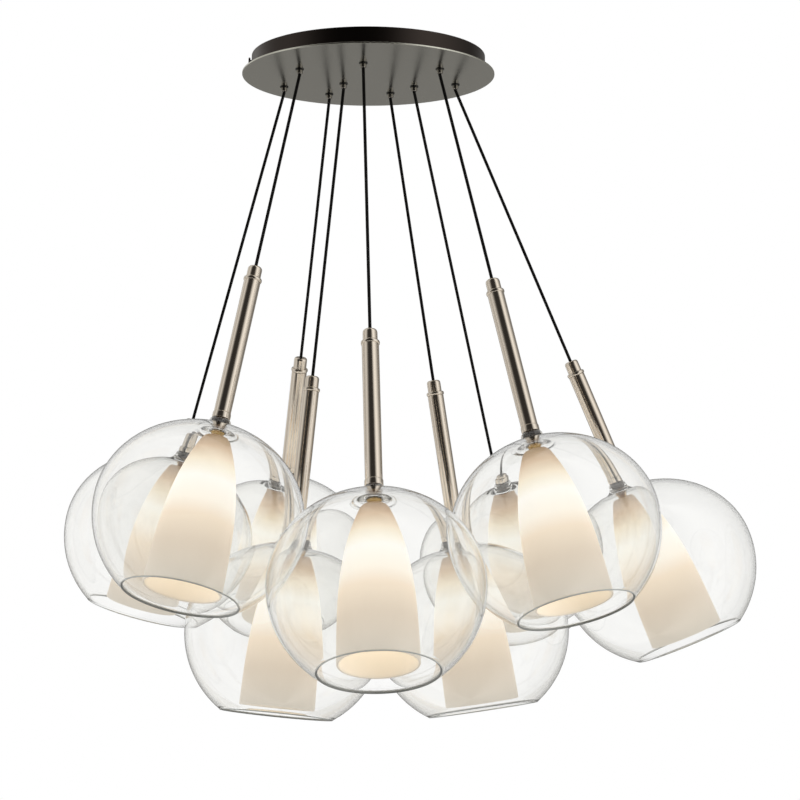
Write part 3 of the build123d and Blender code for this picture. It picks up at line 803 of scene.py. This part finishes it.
# %% Canopy finishes
FINISHES = {"canopy_pan": gunmetal_pan, "canopy_plate": satin_nickel_plate,
            "mounting_bar": zinc_plate, "canopy_fasteners": gunmetal_pan,
            "canopy_wiring": wiring}
for name, material in FINISHES.items():
    nodes[name].data.materials.clear()
    nodes[name].data.materials.append(material)
print("CAD nodes that keep their shape:", list(FINISHES))

# %% [markdown]
# ## Cord glands
# A black ring lies on the plate, a nickel nub stands below it with a bevel round the cord's
# mouth, and inside the canopy a hexagonal nut holds both. A hexagon is a circle whose radius
# is divided by the cosine of the angle from its nearest flat.

# %% Glands
GLAND_RING, GLAND_FACE, NUB_RADIUS, NUB_FACE = 5.5, -25.2, 4.0, -30.2
PLATE_FACE_MM, SHANK_TOP, NUT_FOOT, NUT_HEIGHT = -24, -18, -22, 3
RING_BORE, SHANK_RADIUS, NUT_FLAT = 3.2, 3.0, 5.0          # NUT_FLAT is half across flats
MOUTH_RADIUS, MOUTH_DEPTH, FACE_RADIUS, NUB_BEVEL = 2.6, 1.2, 3.4, 0.6


def hexagonal(angle):
    """A hexagon's reach over its inner circle's: 1 over the cosine of the angle from the
    nearest flat's middle."""
    return 1 / np.cos((angle + math.pi / 6) % (math.pi / 3) - math.pi / 6)


black = rounded([(RING_BORE, PLATE_FACE_MM), (RING_BORE, GLAND_FACE), (GLAND_RING, GLAND_FACE),
                 (GLAND_RING, PLATE_FACE_MM)], [0, 0.1, 0.5, 0.1])
nub = rounded([(CORD_HOLE, SHANK_TOP), (CORD_HOLE, NUB_FACE + MOUTH_DEPTH),
               (MOUTH_RADIUS, NUB_FACE), (FACE_RADIUS, NUB_FACE),
               (NUB_RADIUS, NUB_FACE + NUB_BEVEL), (NUB_RADIUS, GLAND_FACE),
               (SHANK_RADIUS, GLAND_FACE), (SHANK_RADIUS, SHANK_TOP)],
              [0.1, 0.1, 0.1, 0.2, 0.3, 0.1, 0.1, 0.1])
nut = rounded([(SHANK_RADIUS, NUT_FOOT), (NUT_FLAT, NUT_FOOT), (NUT_FLAT, NUT_FOOT + NUT_HEIGHT),
               (SHANK_RADIUS, NUT_FOOT + NUT_HEIGHT)], [0.1, 0.2, 0.3, 0.1])
gland_shells = []
for number in PENDANTS:
    axis = Axis((pivots[number][0], pivots[number][1], 0))
    gland_shells += [ring(black, axis, black_ring, 48), ring(nub, axis, gland_nickel, 48),
                     ring(nut, axis, zinc_plate, 48, hexagonal)]
glands = add_piece("gland_set", "canopy", gland_shells)
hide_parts("cord_glands")
print("gland shells:", len(gland_shells))

# %% [markdown]
# ## The room
# A lamp like this is photographed against white, between tall soft panels, with the dark of
# the room behind the camera. A tube shows that whole round at once, as stripes along it, so
# the studio is a ramp of greys that runs round the compass. The camera and the glass look
# through to plain white.

# %% World
world = bpy.data.worlds.new("studio")
bpy.context.scene.world = world
world.use_nodes = True
tree = world.node_tree
tree.nodes.clear()
path = add_node(tree, "ShaderNodeLightPath").outputs
seen = add_node(tree, "ShaderNodeMath", {0: path["Is Camera Ray"], 1: path["Is Transmission Ray"]},
                operation="MAXIMUM").outputs[0]
direction = add_node(tree, "ShaderNodeTexCoord").outputs["Generated"]
part = add_node(tree, "ShaderNodeSeparateXYZ", {"Vector": direction}).outputs
towards = add_node(tree, "ShaderNodeMath", {0: part["Y"], 1: -1.0}, operation="MULTIPLY")
turn = add_node(tree, "ShaderNodeMath", {0: part["X"], 1: towards.outputs[0]},
                operation="ARCTAN2").outputs[0]
share = add_node(tree, "ShaderNodeMapRange", {"Value": turn, "From Min": -math.pi,
                                              "From Max": math.pi}).outputs["Result"]
STUDIO = {-180: "7a7876", -158: "8a8885", -144: "dbd9d5", -104: "b0aeaa", -80: "d8d6d2",
          -62: "9a9895", -49: "4a4845", -36: "2f2d2b", 11: "2f2d2b", 23: "4a4845", 44: "dcdad6",
          61: "fbf9f5", 84: "dcdad6", 98: "b8b6b2", 120: "6c6a67", 144: "8a8885",
          158: "8a8885", 180: "7a7876"}
studio = ramp(tree, share, [(0.5 + turn_angle / 360, colour(value))
                            for turn_angle, value in STUDIO.items()])
backdrop = add_node(tree, "ShaderNodeBackground", {"Color": colour("ffffff"), "Strength": 1.0})
around = add_node(tree, "ShaderNodeBackground", {"Color": studio, "Strength": 1.2})
mixed = add_node(tree, "ShaderNodeMixShader", {0: seen, 1: around.outputs["Background"],
                                               2: backdrop.outputs["Background"]})
add_node(tree, "ShaderNodeOutputWorld", {"Surface": mixed.outputs["Shader"]})
print("studio ramp has", len(STUDIO), "stops; 0 degrees is behind the camera")

# %% [markdown]
# ## Soft boxes and floor
# Two weak soft boxes lift the matt things, and stay out of the reflections, which the ramp
# gives. The pale floor is that of a tall hall, 4 m below the ceiling.

# %% Lights and floor
def soft_box(name, place, aim, size, power):
    """A rectangular area light that faces a point."""
    data = bpy.data.lights.new(name, "AREA")
    data.shape = "RECTANGLE"
    data.size, data.size_y = size
    data.energy = power
    lamp = bpy.data.objects.new(name, data)
    lamp.location = place
    lamp.rotation_euler = (Vector(aim) - Vector(place)).to_track_quat("-Z", "Y").to_euler()
    lamp.visible_camera = lamp.visible_glossy = lamp.visible_transmission = False
    bpy.context.scene.collection.objects.link(lamp)


MIDDLE, PANEL = (0.03, 0.03, -0.5), (0.9, 2.0)
soft_box("left_soft_box", (-2.4, -1.6, -0.2), MIDDLE, PANEL, 22)
soft_box("right_soft_box", (2.4, -1.4, -0.2), MIDDLE, PANEL, 26)

FLOOR_REACH, HALL_HEIGHT = 60, 4.0            # metres
floor_mesh = bpy.data.meshes.new("floor")
floor_mesh.from_pydata([(x * FLOOR_REACH, y * FLOOR_REACH, -HALL_HEIGHT)
                        for x, y in ((-1, -1), (1, -1), (1, 1), (-1, 1))],
                       [], [(0, 1, 2, 3)])
floor = bpy.data.objects.new("floor", floor_mesh)
bpy.context.scene.collection.objects.link(floor)
floor.visible_glossy = floor.visible_diffuse = False      # the studio alone lights the lamp
floor_paint, _, _ = new_material("floor_paint_matt", Base_Color=colour("ececea"), Roughness=0.9,
                                 Emission_Color=colour("ffffff"), Emission_Strength=0.5)
floor_mesh.materials.append(floor_paint)

bpy.context.scene.cycles.max_bounces = 24          # light crosses four faces in each globe
bpy.context.scene.cycles.transmission_bounces = 24
view_settings = bpy.context.scene.view_settings
view_settings.view_transform = "Standard"
